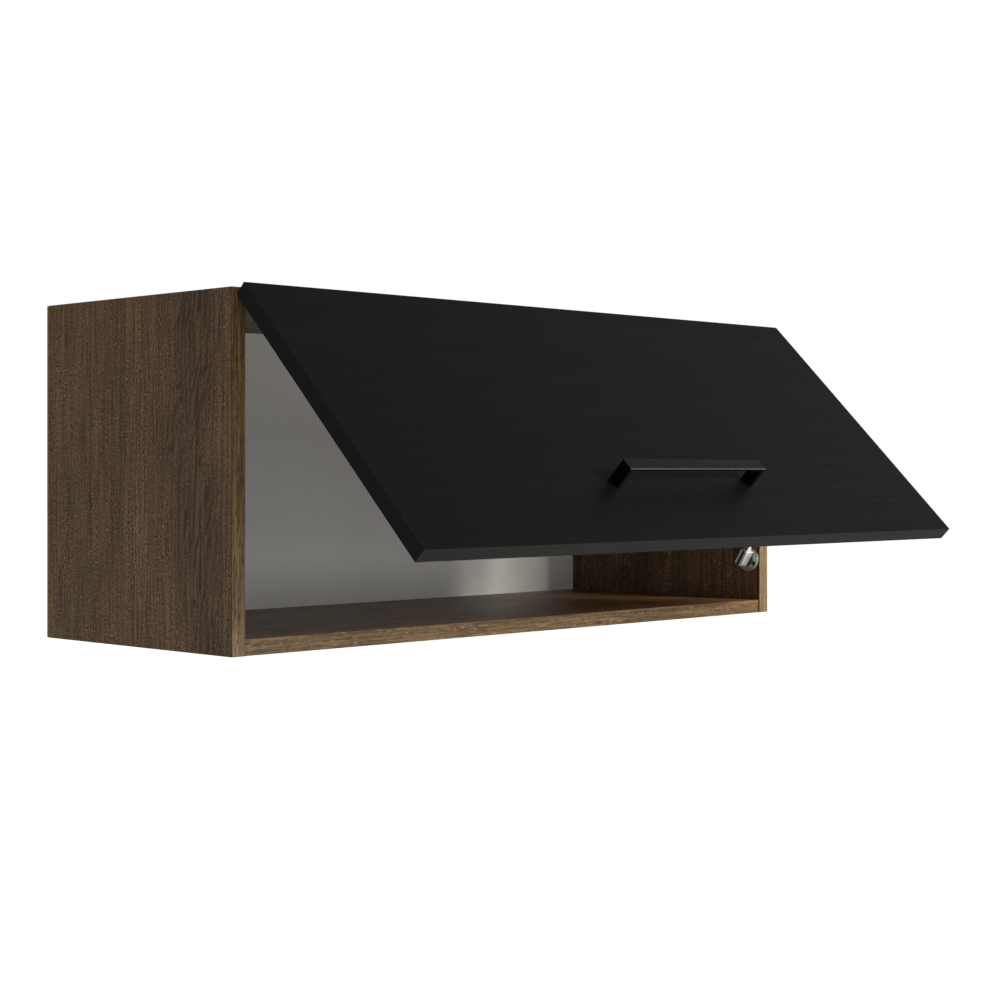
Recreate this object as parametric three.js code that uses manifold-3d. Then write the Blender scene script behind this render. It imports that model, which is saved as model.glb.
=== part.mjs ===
// Lift-up wall cabinet, as the pieces it is built from, with its flap held open.
// Millimetres. X runs left to right, Y from the room to the wall, Z up. The origin is the centre
// of the back panel's rear face, which lies on the wall.
import * as THREE from "three";
import { mergeVertices } from "three/addons/utils/BufferGeometryUtils.js";
import Module from "manifold-3d";

const wasm = await Module();
wasm.setup();

// ---- Driving dimensions -------------------------------------------------------------------

// Carcass
const cabinetWidth = 800;
const cabinetHeight = 335;
const cabinetDepth = 300; // side panels, with their front bands
const boardThickness = 15;
const backThickness = 3;
const backInset = 0.3; // back panel's edges inside the carcass outline
const bandThickness = 1.5; // edge bands of the four boards
const levelSetback = 1.5; // top and bottom panels' front edges behind the side panels'
const glueLine = 0.1; // between pieces that are fixed to each other
const runningGap = 0.3; // between pieces that move on each other
const screwClearance = 0.3; // between a screw's shank and its hole
const overcut = 1; // a cutting tool runs this far past the face that it opens

// Flap: it turns about a line in the middle of its top edge
const flapThickness = 15;
const flapBandThickness = 0.5;
const flapGap = 1.7; // closed flap to the carcass front
const flapReveal = 1.5; // carcass shows above and below the flap
const flapSideReveal = 2; // carcass shows beside the flap
const openAngle = THREE.MathUtils.degToRad(45.2);
const pivotForward = 10; // ahead of the carcass front
const pivotDown = 1.6; // below the carcass top

// Handle: a flat bar on two legs
const handleLength = 208;
const handleWidth = 13.5;
const handleThickness = 3;
const handleLegThickness = 5;
const handleStandoff = 25;
const handleUp = 75; // middle of the bar above the flap's lower edge
const handleChamfer = 0.3;
const handleScrewRadius = 1.9;
const handleScrewGrip = 9; // screw's length in the leg
const screwTipRoom = 1; // hole past the screw's tip
const screwHeadRadius = 4;
const screwHeadTopRadius = 2.8;
const screwHeadHeight = 2.2;
const screwRecessReach = 2.4;
const screwRecessDepth = 1.1;

// Cup hinges, two alike
const hingeInset = 100; // hinge's middle from the cabinet's side
const cupRadius = 17.5;
const cupDepth = 12.6;
const cupEdge = 5; // wood between the cup and the flap's top edge
const cupWall = 0.8;
const cupFlange = 1.2;
const cupFlangeWidth = 1.6;
const cupEarX = 22.5; // press-in dowels beside the cup
const cupEarDown = 9.5;
const cupEarRadius = 6;
const cupDowelRadius = 4;
const cupDowelDepth = 9;
const cheekTop = 8.5; // cheeks that carry the cup pins, below the carcass top
const cheekBottom = 18.8;
const cheekWidth = 4.5;
const outerPinForward = 5.5; // pin of the outer link in the closed flap
const outerPinDown = 12.5;
const outerPinReach = 23; // its fixed pin, from the flap's turning line
const innerPinForward = 3.85;
const innerPinDown = 16.4;
const innerPinReach = 31;
const pinRadius = 1.2;
const armInside = 13; // channel between the arm's walls
const armWall = 1.5;
const armRear = 62; // arm's rear end behind the carcass front
const armTop = 19; // arm's upper edge below the carcass top
const armBottom = 30;
const armBelly = 36.4; // lowest point, just behind the nose
const armBellyBack = 12;
const armBellyEnd = 32;
const armShoulder = 1.2; // the upper edge dips to the nose from here, behind the carcass front
const armNoseRadius = 2.4;
const armNoseOpen = 4; // the channel's floor stops here, ahead of the carcass front
const armScrewRadius = 2.6;
const armScrewFront = 27; // its adjusting and fixing screws behind the carcass front
const armScrewRear = 49;
const innerLinkWidth = 6.6;
const outerLinkPlate = 2.6;
const linkEyeRadius = 2.1;
const linkTipRadius = 1.7;
const plateSetback = 37; // plate screws behind the carcass front
const plateScrewX = 16;
const plateThickness = 2.5;
const plateWingRadius = 6.5;
const plateFront = 16; // rib's front end behind the carcass front
const woodScrewRadius = 1.75;
const woodScrewDepth = 12;

// Gas strut, on the right-hand side only
const strutInset = 11.5; // strut's axis from the right panel's inner face
const strutFootBack = 15.8; // lower pivot behind the carcass front
const strutFootUp = 63.2; // lower pivot above the carcass bottom
const strutHeadDown = 128.5; // upper pivot below the flap's top edge
const strutHeadOff = 10; // upper pivot off the flap's inner face
const strutTubeRadius = 7.5;
const strutTubeLength = 105;
const strutTubeChamfer = 2;
const strutCapLength = 3; // from the tube's shoulder to the upper socket
const strutEndWall = 4; // between the tube's shoulder and its bore
const strutRodRadius = 3;
const strutRodLength = 102;
const strutRodSeat = 3; // rod's end inside its socket's neck
const socketWidth = 9;
const socketAcross = 13;
const socketBelow = 7; // socket beyond the pivot
const socketAbove = 13; // socket from the pivot to its neck
const socketNeckRadius = 4.2;
const socketNeckLength = 3;
const socketBevel = 0.9;
const socketClipWidth = 2.2;
const socketClipDrop = 2; // the clip ends this far below the socket's shoulder
const socketGrooveWidth = 1.3;
const socketGrooveDepth = 2.2;
const studRadius = 3;
const studPast = 2.5; // stud's end in the socket, past the socket's middle
const studCollarRadius = 4.6;
const flangeRadius = 14.8;
const flangeThickness = 3.5;
const flangeBevel = 1;
const flangeScrewForward = 9.4; // flange screws from its middle
const flangeScrewDown = 5;
const flangeScrewHead = 2.6;
const flangeScrewSunk = 0.5; // heads below the flange's face
const bracketLength = 34;
const bracketHeight = 24;
const bracketThickness = 2;
const bracketEarRadius = 6.5;
const bracketClear = 2; // bracket's ear to the socket's side

// Joinery of the boards
const camRadius = 7.4;
const camPocketRadius = 7.6;
const camHeight = 12.2;
const camReach = 34; // cam's middle from the side panel
const camSlotReach = 4;
const camSlotDepth = 2;
const boltThreadRadius = 2.9;
const boltThreadLength = 10.5;
const boltShankRadius = 2.6;
const boltHeadRadius = 3.3;
const boltHeadLength = 3;
const boltCollarLength = 3;
const boltNeckRadius = 1.3;
const boltNeckLength = 2; // with its cone
const boltBoreRadius = 4;
const dowelRadius = 4;
const dowelLength = 30;
const dowelInSide = 11;
const pinChamfer = 1; // on the dowels and bolts
const fittingSetback = 40; // cams from the boards' front and rear edges

// Wall hangers and bump stops
const hangerLeg = 40;
const hangerHeight = 40;
const hangerThickness = 2;
const hangerDrop = 4; // below the top panel
const hangerHoleInset = 24;
const hangerHoleRadius = 4;
const bumpRadius = 4;
const bumpUp = 20; // above the flap's lower edge

// Facets round a full turn
const roundSides = 32;
const camSides = 18;
const tubeSides = 24;
const smallSides = 12;
const boltSides = 10;
const arcSteps = 8; // on each arc of an extruded outline

// ---- Planes that follow from them ---------------------------------------------------------

const halfWidth = cabinetWidth / 2;
const sideInnerX = halfWidth - boardThickness;
const rearY = -backThickness - glueLine;
const frontY = rearY - cabinetDepth;
const topZ = cabinetHeight / 2;
const innerTopZ = topZ - boardThickness;
const boardFrontY = frontY + bandThickness + glueLine;
const levelFrontY = boardFrontY + levelSetback;
const hingeX = halfWidth - hingeInset;
const strutX = sideInnerX - strutInset;
const armWallX = armInside / 2;
const innerPlateX = innerLinkWidth / 2 + runningGap;

// In the flap's own frame the origin is the turning line, Z up and Y to the wall when closed
const flapInnerY = pivotForward - flapGap;
const flapOuterY = flapInnerY - flapThickness;
const flapTopZ = pivotDown - flapReveal;
const flapHeight = cabinetHeight - 2 * flapReveal;
const flapWidth = cabinetWidth - 2 * flapSideReveal;
const flapBottomZ = flapTopZ - flapHeight;
const cupZ = flapTopZ - cupEdge - cupRadius;
const handleZ = flapBottomZ + handleUp;
const handleScrewX = (handleLength - handleLegThickness) / 2;
const strutHeadZ = flapTopZ - strutHeadDown;
const strutHeadY = flapInnerY + strutHeadOff;

// ---- Points in the cabinet's cross-section, as THREE.Vector2(Y, Z) ---------------------------

function sectionPoint(forward, down) {
  return new THREE.Vector2(frontY - forward, topZ - down);
}

const pivot = sectionPoint(pivotForward, pivotDown);

function swing(point, angle) {
  return point.clone().rotateAround(pivot, -angle);
}

// The fixed pin of a link lies where its distance to the flap's pin is alike, closed and open
function fixedPin(flapPin, reach) {
  const middle = swing(flapPin, openAngle / 2).sub(pivot);
  return middle.setLength(reach).add(pivot);
}

const outerPin = sectionPoint(outerPinForward, outerPinDown);
const innerPin = sectionPoint(innerPinForward, innerPinDown);
const outerFixed = fixedPin(outerPin, outerPinReach);
const innerFixed = fixedPin(innerPin, innerPinReach);
const strutFoot = new THREE.Vector2(frontY + strutFootBack, -topZ + strutFootUp);
const strutHead = swing(new THREE.Vector2(strutHeadY, strutHeadZ).add(pivot), openAngle);

// ---- Solids -------------------------------------------------------------------------------

function closed(geometry) {
  const bare = geometry.clone();
  bare.deleteAttribute("normal");
  bare.deleteAttribute("uv");
  const merged = mergeVertices(bare, 1e-4);
  const corners = merged.index.array;
  const kept = [];
  for (let i = 0; i < corners.length; i += 3) {
    const [a, b, c] = corners.slice(i, i + 3);
    if (a !== b && b !== c && c !== a) kept.push(a, b, c);
  }
  merged.setIndex(kept);
  return merged;
}

function toSolid(geometry) {
  const shell = closed(geometry);
  return new wasm.Manifold(
    new wasm.Mesh({
      numProp: 3,
      vertProperties: new Float32Array(shell.attributes.position.array),
      triVerts: new Uint32Array(shell.index.array),
    }),
  );
}

function toGeometry(solid) {
  const { vertProperties, triVerts } = solid.getMesh();
  const geometry = new THREE.BufferGeometry();
  geometry.setAttribute("position", new THREE.BufferAttribute(vertProperties, 3));
  geometry.setIndex(new THREE.BufferAttribute(triVerts, 1));
  geometry.computeVertexNormals();
  return geometry;
}

function join(first, ...others) {
  return toGeometry(others.reduce((solid, other) => solid.add(toSolid(other)), toSolid(first)));
}

function cut(first, ...tools) {
  return toGeometry(tools.reduce((solid, tool) => solid.subtract(toSolid(tool)), toSolid(first)));
}

function common(first, second) {
  return toGeometry(toSolid(first).intersect(toSolid(second)));
}

// A block between two corners
function block(x0, x1, y0, y1, z0, z1) {
  const geometry = new THREE.BoxGeometry(Math.abs(x1 - x0), Math.abs(y1 - y0), Math.abs(z1 - z0));
  return geometry.translate((x0 + x1) / 2, (y0 + y1) / 2, (z0 + z1) / 2);
}

function rodAlongX(radius, x0, x1, y, z, sides = smallSides) {
  const geometry = new THREE.CylinderGeometry(radius, radius, Math.abs(x1 - x0), sides);
  return geometry.rotateZ(Math.PI / 2).translate((x0 + x1) / 2, y, z);
}

function rodAlongY(radius, x, y0, y1, z, sides = smallSides) {
  const geometry = new THREE.CylinderGeometry(radius, radius, Math.abs(y1 - y0), sides);
  return geometry.translate(x, (y0 + y1) / 2, z);
}

function rodAlongZ(radius, x, y, z0, z1, sides = smallSides) {
  const geometry = new THREE.CylinderGeometry(radius, radius, Math.abs(z1 - z0), sides);
  return geometry.rotateX(Math.PI / 2).translate(x, y, (z0 + z1) / 2);
}

// A shape drawn in Y and Z, as thick along X as asked and centred on X = 0
function slab(outline, thickness) {
  const yzx = new THREE.Matrix4().makeBasis(
    new THREE.Vector3(0, 1, 0),
    new THREE.Vector3(0, 0, 1),
    new THREE.Vector3(1, 0, 0),
  );
  const settings = { depth: thickness, bevelEnabled: false, curveSegments: arcSteps };
  const geometry = new THREE.ExtrudeGeometry(outline, settings);
  return geometry.applyMatrix4(yzx).translate(-thickness / 2, 0, 0);
}

// A profile of [radius, height] points turned about the Z axis
function turned(points, sides = roundSides) {
  const profile = points.map(([radius, height]) => new THREE.Vector2(radius, height));
  return new THREE.LatheGeometry(profile, sides).rotateX(Math.PI / 2);
}

function polygon(points) {
  return new THREE.Shape(points.map(([a, b]) => new THREE.Vector2(a, b)));
}

function roundedBar(halfLength, halfAcross, radius) {
  const shape = new THREE.Shape();
  const x = halfLength - radius;
  const y = halfAcross - radius;
  shape.absarc(x, y, radius, 0, Math.PI / 2);
  shape.absarc(-x, y, radius, Math.PI / 2, Math.PI);
  shape.absarc(-x, -y, radius, Math.PI, 1.5 * Math.PI);
  shape.absarc(x, -y, radius, 1.5 * Math.PI, 2 * Math.PI);
  return shape;
}

// ---- Finishes and the tree of pieces --------------------------------------------------------

const finishes = {
  wood: { color: 0x52402f, roughness: 0.55, metalness: 0 },
  band: { color: 0x7d6241, roughness: 0.5, metalness: 0 },
  backing: { color: 0xdedcd6, roughness: 0.6, metalness: 0 },
  black: { color: 0x1c1c1d, roughness: 0.5, metalness: 0 },
  blackMetal: { color: 0x141516, roughness: 0.35, metalness: 0.4 },
  steel: { color: 0xb4b4b2, roughness: 0.35, metalness: 0.9 },
  strutBlack: { color: 0x26272a, roughness: 0.35, metalness: 0.3 },
  zinc: { color: 0xa5a5a3, roughness: 0.45, metalness: 0.85 },
  beech: { color: 0xc9a878, roughness: 0.7, metalness: 0 },
  rubber: { color: 0xd9d9d9, roughness: 0.4, metalness: 0 },
};

const cabinet = new THREE.Group();

function group(parent, x = 0, y = 0, z = 0, turn = 0) {
  const made = new THREE.Group();
  made.position.set(x, y, z);
  made.rotation.x = turn;
  parent.add(made);
  return made;
}

function piece(parent, name, geometry, finish) {
  const mesh = new THREE.Mesh(closed(geometry), new THREE.MeshStandardMaterial(finishes[finish]));
  mesh.name = name;
  parent.add(mesh);
  return mesh;
}

// ---- Screws ---------------------------------------------------------------------------------

// A screw whose head sits on Z = 0 and whose shank goes down, with a cross recess in the head
function panScrew(shankRadius, shankLength) {
  const body = turned(
    [
      [0, -shankLength],
      [shankRadius / 2, -shankLength],
      [shankRadius, -shankLength + shankRadius],
      [shankRadius, 0],
      [screwHeadRadius, 0],
      [screwHeadRadius, screwHeadHeight / 2],
      [screwHeadTopRadius, screwHeadHeight],
      [0, screwHeadHeight],
    ],
    smallSides,
  );
  const recessFloor = screwHeadHeight - screwRecessDepth;
  return cut(body, ...crossRecess(screwRecessReach, recessFloor, screwHeadHeight));
}

function crossRecess(reach, bottom, top) {
  const half = reach / 4;
  const above = top + overcut;
  return [
    block(-reach, reach, -half, half, bottom, above),
    block(-half, half, -reach, reach, bottom, above),
  ];
}

// ---- Carcass boards -------------------------------------------------------------------------

const boardMiddleZ = topZ - boardThickness / 2;
const boardEndX = sideInnerX - glueLine;
const fittingFrontY = levelFrontY + fittingSetback;
const fittingRearY = rearY - fittingSetback;
const dowelY = (fittingFrontY + fittingRearY) / 2;

function sideHoles(side) {
  const tools = [];
  const faceX = side * (sideInnerX - overcut);
  for (const z of [boardMiddleZ, -boardMiddleZ]) {
    for (const y of [fittingFrontY, fittingRearY]) {
      const endX = side * (sideInnerX + boltThreadLength + runningGap);
      tools.push(rodAlongX(boltThreadRadius + runningGap, faceX, endX, y, z));
    }
    const dowelEndX = side * (sideInnerX + dowelInSide + runningGap);
    tools.push(rodAlongX(dowelRadius + runningGap, faceX, dowelEndX, dowelY, z));
  }
  return tools;
}

function flangeScrewPlaces() {
  const places = [];
  for (const sign of [1, -1]) {
    places.push([strutFoot.x - sign * flangeScrewForward, strutFoot.y - sign * flangeScrewDown]);
  }
  return places;
}

function sidePanel(side) {
  const board = block(
    side * sideInnerX, side * halfWidth, boardFrontY, rearY, -topZ, topZ,
  );
  const tools = sideHoles(side);
  if (side > 0) {
    for (const [y, z] of flangeScrewPlaces()) {
      const endX = sideInnerX + woodScrewDepth;
      tools.push(rodAlongX(woodScrewRadius + screwClearance, sideInnerX - overcut, endX, y, z));
    }
  }
  return cut(board, ...tools);
}

// Holes of the cams, bolts and dowels in the board between the sides
function boardHoles(level) {
  const tools = [];
  const z = level * boardMiddleZ;
  const pocketZ = level * (topZ - camHeight - runningGap);
  for (const side of [-1, 1]) {
    const openX = side * (sideInnerX + overcut);
    for (const y of [fittingFrontY, fittingRearY]) {
      const camX = side * (sideInnerX - camReach);
      const faceZ = level * (topZ + overcut);
      tools.push(rodAlongZ(camPocketRadius, camX, y, pocketZ, faceZ, camSides));
      tools.push(rodAlongX(boltBoreRadius, camX, openX, y, z));
    }
    const dowelX = side * (sideInnerX - (dowelLength - dowelInSide) - runningGap);
    tools.push(rodAlongX(dowelRadius + runningGap, dowelX, openX, dowelY, z));
  }
  return tools;
}

function plateScrewPlaces() {
  return [-1, 1].flatMap((side) => [-1, 1].map((end) => side * hingeX + end * plateScrewX));
}

function levelPanel(level) {
  const board = block(
    -boardEndX, boardEndX, levelFrontY, rearY, level * innerTopZ, level * topZ,
  );
  const tools = boardHoles(level);
  if (level > 0) {
    for (const x of plateScrewPlaces()) {
      const y = frontY + plateSetback;
      const z = innerTopZ + woodScrewDepth;
      tools.push(rodAlongZ(woodScrewRadius + screwClearance, x, y, innerTopZ - overcut, z));
    }
  }
  return cut(board, ...tools);
}

const hangerHoleX = sideInnerX - glueLine - hangerHoleInset;
const hangerTopZ = innerTopZ - hangerDrop;
const hangerMiddleZ = hangerTopZ - hangerHeight / 2;

function backPanel() {
  const x = halfWidth - backInset;
  const z = topZ - backInset;
  const board = block(-x, x, -backThickness, 0, -z, z);
  const holes = [-1, 1].map((side) =>
    rodAlongY(
      hangerHoleRadius, side * hangerHoleX, -backThickness - overcut, overcut, hangerMiddleZ,
    ),
  );
  return cut(board, ...holes);
}

function addCarcass() {
  const bandY = frontY + bandThickness;
  piece(cabinet, "back_panel", backPanel(), "backing");
  for (const [side, word] of [[-1, "left"], [1, "right"]]) {
    const band = block(side * sideInnerX, side * halfWidth, frontY, bandY, -topZ, topZ);
    piece(cabinet, `side_panel_${word}`, sidePanel(side), "wood");
    piece(cabinet, `edge_band_${word}`, band, "band");
  }
  for (const [level, word] of [[1, "top"], [-1, "bottom"]]) {
    const inner = level * innerTopZ;
    const band = block(
      -boardEndX, boardEndX, frontY + levelSetback, bandY + levelSetback, inner, level * topZ,
    );
    piece(cabinet, `${word}_panel`, levelPanel(level), "wood");
    piece(cabinet, `edge_band_${word}`, band, "band");
  }
}

// ---- Joinery --------------------------------------------------------------------------------

// A cam stands on its end at Z = 0 with its slotted face up; the bolt enters along X
function cam(side) {
  const axisZ = camHeight - boardThickness / 2;
  const drum = turned(
    [
      [0, 0],
      [camRadius, 0],
      [camRadius, camHeight - runningGap],
      [camRadius - runningGap, camHeight],
      [0, camHeight],
    ],
    camSides,
  );
  const inward = -side * (boltHeadLength + runningGap);
  const outward = side * (camRadius + overcut);
  const mouth = rodAlongX(boltHeadRadius + runningGap, inward, outward, 0, axisZ);
  return cut(drum, mouth, ...crossRecess(camSlotReach, camHeight - camSlotDepth, camHeight));
}

// A bolt along +Z from the side panel's face at Z = 0: its thread is below, its head above
function camBolt() {
  const headStart = camReach - boltHeadLength / 2;
  const neckStart = headStart - boltNeckLength;
  const collarRadius = boltBoreRadius - runningGap;
  return turned(
    [
      [0, -boltThreadLength],
      [boltThreadRadius - pinChamfer, -boltThreadLength],
      [boltThreadRadius, -boltThreadLength + pinChamfer],
      [boltThreadRadius, 0],
      [collarRadius, glueLine],
      [collarRadius, boltCollarLength],
      [boltShankRadius, boltCollarLength + pinChamfer],
      [boltShankRadius, neckStart],
      [boltNeckRadius, neckStart + pinChamfer],
      [boltNeckRadius, headStart],
      [boltHeadRadius, headStart],
      [boltHeadRadius, headStart + boltHeadLength],
      [0, headStart + boltHeadLength],
    ],
    boltSides,
  );
}

function dowel() {
  const half = dowelLength / 2;
  return turned(
    [
      [0, -half],
      [dowelRadius - pinChamfer, -half],
      [dowelRadius, -half + pinChamfer],
      [dowelRadius, half - pinChamfer],
      [dowelRadius - pinChamfer, half],
      [0, half],
    ],
    smallSides,
  );
}

function addFittings(side, sideWord, level, levelWord) {
  const place = `${levelWord}_${sideWord}`;
  const z = level * boardMiddleZ;
  const towardsMiddle = side > 0 ? -Math.PI / 2 : Math.PI / 2;
  for (const [y, depthWord] of [[fittingFrontY, "front"], [fittingRearY, "rear"]]) {
    const camZ = level * (topZ - camHeight);
    const drum = cam(side * level);
    if (level < 0) drum.rotateY(Math.PI);
    drum.translate(side * (sideInnerX - camReach), y, camZ);
    piece(cabinet, `cam_${place}_${depthWord}`, drum, "zinc");
    const bolt = camBolt().rotateY(towardsMiddle).translate(side * sideInnerX, y, z);
    piece(cabinet, `cam_bolt_${place}_${depthWord}`, bolt, "steel");
  }
  const dowelX = side * (sideInnerX + dowelInSide - dowelLength / 2);
  const pin = dowel().rotateY(Math.PI / 2).translate(dowelX, dowelY, z);
  piece(cabinet, `dowel_${place}`, pin, "beech");
}

function addJoinery() {
  for (const [side, sideWord] of [[-1, "left"], [1, "right"]]) {
    addFittings(side, sideWord, 1, "top");
    addFittings(side, sideWord, -1, "bottom");
  }
}

// ---- Wall hangers ---------------------------------------------------------------------------

function hanger(side) {
  const x0 = side * (sideInnerX - glueLine);
  const x1 = side * (sideInnerX - glueLine - hangerThickness);
  const x2 = side * (sideInnerX - glueLine - hangerLeg);
  const y0 = -backThickness - glueLine;
  const y1 = y0 - hangerThickness;
  const y2 = y0 - hangerLeg;
  const z0 = hangerTopZ - hangerHeight;
  const onSide = block(x0, x1, y0, y2, z0, hangerTopZ);
  const onBack = block(x0, x2, y0, y1, z0, hangerTopZ);
  const wallHole = rodAlongY(
    hangerHoleRadius, side * hangerHoleX, y0 + overcut, y1 - overcut, hangerMiddleZ,
  );
  return cut(join(onSide, onBack), wallHole);
}

function addHangers() {
  piece(cabinet, "wall_hanger_left", hanger(-1), "steel");
  piece(cabinet, "wall_hanger_right", hanger(1), "steel");
}

// ---- Cup hinges -----------------------------------------------------------------------------

function hingePlate() {
  const y = frontY + plateSetback;
  const topFace = innerTopZ - glueLine;
  const wingOutline = roundedBar(plateScrewX + plateWingRadius, plateWingRadius, plateWingRadius);
  const wing = new THREE.ExtrudeGeometry(wingOutline, {
    depth: plateThickness,
    bevelEnabled: false,
    curveSegments: arcSteps,
  }).translate(0, y, topFace - plateThickness);
  const ribX = armWallX - runningGap;
  const ribFront = frontY + plateFront;
  const ribRear = frontY + armRear - armWall;
  const ribBottom = topZ - armBottom + armWall + runningGap;
  const rib = block(-ribX, ribX, ribFront, ribRear, ribBottom, topFace);
  const below = topFace - plateThickness - overcut;
  const holes = [-1, 1].map((end) =>
    rodAlongZ(woodScrewRadius + screwClearance, end * plateScrewX, y, topFace + overcut, below),
  );
  return cut(join(wing, rib), ...holes);
}

function armOutline() {
  const rear = frontY + armRear;
  const shape = new THREE.Shape();
  shape.moveTo(rear, topZ - armTop);
  shape.lineTo(frontY + armShoulder, topZ - armTop);
  shape.absarc(outerFixed.x, outerFixed.y, armNoseRadius, Math.PI / 2, Math.PI);
  shape.absarc(innerFixed.x, innerFixed.y, armNoseRadius, Math.PI, 1.5 * Math.PI);
  shape.lineTo(frontY + armBellyBack, topZ - armBelly);
  shape.lineTo(frontY + armBellyEnd, topZ - armBottom);
  shape.lineTo(rear, topZ - armBottom);
  return shape;
}

// The space between the arm's walls; its floor stops short of the nose
function armChannel() {
  const behind = frontY + armRear + overcut;
  const ahead = outerFixed.x - armNoseRadius - overcut;
  const below = topZ - armBelly - overcut;
  const floor = topZ - armBottom + armWall;
  const belly = topZ - armBelly + armWall;
  return polygon([
    [behind, topZ],
    [ahead, topZ],
    [ahead, below],
    [frontY - armNoseOpen, below],
    [frontY - armNoseOpen, belly],
    [frontY + armBellyBack, belly],
    [frontY + armBellyEnd, floor],
    [behind, floor],
  ]);
}

function hingeArm() {
  const outerX = armWallX + armWall;
  const wallMiddle = armWallX + armWall / 2;
  const channel = cut(slab(armOutline(), 2 * outerX), slab(armChannel(), armInside));
  const stubs = [-1, 1].map((end) =>
    rodAlongX(pinRadius, end * innerPlateX, end * wallMiddle, outerFixed.x, outerFixed.y),
  );
  const pin = rodAlongX(pinRadius, -wallMiddle, wallMiddle, innerFixed.x, innerFixed.y);
  const below = topZ - armBelly - overcut;
  const above = topZ - armBottom + armWall + overcut;
  const screwHoles = [armScrewFront, armScrewRear].map((back) =>
    rodAlongZ(armScrewRadius, 0, frontY + back, below, above),
  );
  return cut(join(channel, ...stubs, pin), ...screwHoles);
}

// A link along +Z: a hole for the fixed pin at the origin, its tip at the given length
function linkOutline(length) {
  const shape = new THREE.Shape();
  shape.absarc(0, 0, linkEyeRadius, Math.PI, 2 * Math.PI);
  shape.absarc(0, length, linkTipRadius, 0, Math.PI);
  const hole = new THREE.Path();
  hole.absarc(0, 0, pinRadius + runningGap, 0, 2 * Math.PI, true);
  shape.holes.push(hole);
  return shape;
}

function innerLink(length) {
  return slab(linkOutline(length), innerLinkWidth);
}

function outerLink(length) {
  const plateX = innerPlateX + outerLinkPlate / 2;
  const plates = [-1, 1].map((end) =>
    slab(linkOutline(length), outerLinkPlate).translate(end * plateX, 0, 0),
  );
  const tipX = innerPlateX + outerLinkPlate;
  return join(...plates, rodAlongX(pinRadius, -tipX, tipX, 0, length));
}

// The cup in the flap's frame, its middle on X = 0
function hingeCup() {
  const outer = cupRadius - runningGap;
  const inner = outer - cupWall;
  const seat = flapInnerY + glueLine;
  const floor = flapInnerY - cupDepth;
  const rim = seat + cupFlange;
  const pot = turned([
    [0, floor],
    [outer, floor],
    [outer, seat],
    [cupRadius + cupFlangeWidth, seat],
    [cupRadius + cupFlangeWidth, rim],
    [inner, rim],
    [inner, floor + cupWall],
    [0, floor + cupWall],
  ]).rotateX(-Math.PI / 2).translate(0, 0, cupZ);
  const earOutline = roundedBar(cupEarX + cupEarRadius, cupEarRadius, cupEarRadius);
  const ears = new THREE.ExtrudeGeometry(earOutline, {
    depth: cupFlange,
    bevelEnabled: false,
    curveSegments: arcSteps,
  }).rotateX(-Math.PI / 2).translate(0, seat, cupZ - cupEarDown);
  const insideWall = inner + cupWall / 2;
  const cupSpace = rodAlongY(insideWall, 0, seat - overcut, rim + overcut, cupZ, roundSides);
  const earRing = cut(ears, cupSpace);
  const dowels = [-1, 1].map((end) =>
    rodAlongY(cupDowelRadius, end * cupEarX, flapInnerY - cupDowelDepth, rim, cupZ - cupEarDown),
  );
  const core = rodAlongY(insideWall, 0, floor + cupWall / 2, rim, cupZ, roundSides);
  const cheekX = armWallX + runningGap / 2;
  const cheeks = [-1, 1].map((end) =>
    common(
      block(
        end * cheekX, end * (cheekX + cheekWidth), floor, rim,
        pivotDown - cheekBottom, pivotDown - cheekTop,
      ),
      core,
    ),
  );
  return join(pot, earRing, ...dowels, ...cheeks);
}

function addLink(parent, name, fixed, flapPin, makeLink) {
  const tip = swing(flapPin, openAngle);
  const reach = tip.clone().sub(fixed);
  const holder = group(parent, 0, fixed.x, fixed.y, Math.atan2(-reach.x, reach.y));
  piece(holder, name, makeLink(reach.length()), "steel");
}

function addHinge(flap, side, word) {
  const fixed = group(cabinet, side * hingeX);
  piece(fixed, `hinge_plate_${word}`, hingePlate(), "zinc");
  piece(fixed, `hinge_arm_${word}`, hingeArm(), "steel");
  addLink(fixed, `hinge_link_outer_${word}`, outerFixed, outerPin, outerLink);
  addLink(fixed, `hinge_link_inner_${word}`, innerFixed, innerPin, innerLink);
  for (const [end, endWord] of [[-1, "a"], [1, "b"]]) {
    const screw = panScrew(woodScrewRadius, woodScrewDepth + plateThickness - runningGap);
    const headZ = innerTopZ - glueLine - plateThickness - glueLine;
    screw.rotateX(Math.PI).translate(end * plateScrewX, frontY + plateSetback, headZ);
    piece(fixed, `hinge_screw_${word}_${endWord}`, screw, "zinc");
  }
  const onFlap = group(flap, side * hingeX);
  piece(onFlap, `hinge_cup_${word}`, hingeCup(), "steel");
}

// ---- Flap and handle ------------------------------------------------------------------------

function flapPanel() {
  const halfX = flapWidth / 2 - flapBandThickness - glueLine;
  const top = flapTopZ - flapBandThickness - glueLine;
  const bottom = flapBottomZ + flapBandThickness + glueLine;
  const board = block(-halfX, halfX, flapOuterY, flapInnerY, bottom, top);
  const tools = [];
  for (const side of [-1, 1]) {
    const x = side * hingeX;
    const past = flapInnerY + overcut;
    const pocketY = flapInnerY - cupDepth - runningGap;
    tools.push(rodAlongY(cupRadius, x, pocketY, past, cupZ, roundSides));
    for (const end of [-1, 1]) {
      const holeFloor = flapInnerY - cupDowelDepth - runningGap;
      const holeRadius = cupDowelRadius + runningGap;
      tools.push(rodAlongY(holeRadius, x + end * cupEarX, holeFloor, past, cupZ - cupEarDown));
    }
    const screwHole = handleScrewRadius + screwClearance;
    tools.push(rodAlongY(screwHole, side * handleScrewX, flapOuterY - overcut, past, handleZ));
  }
  return cut(board, ...tools);
}

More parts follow.
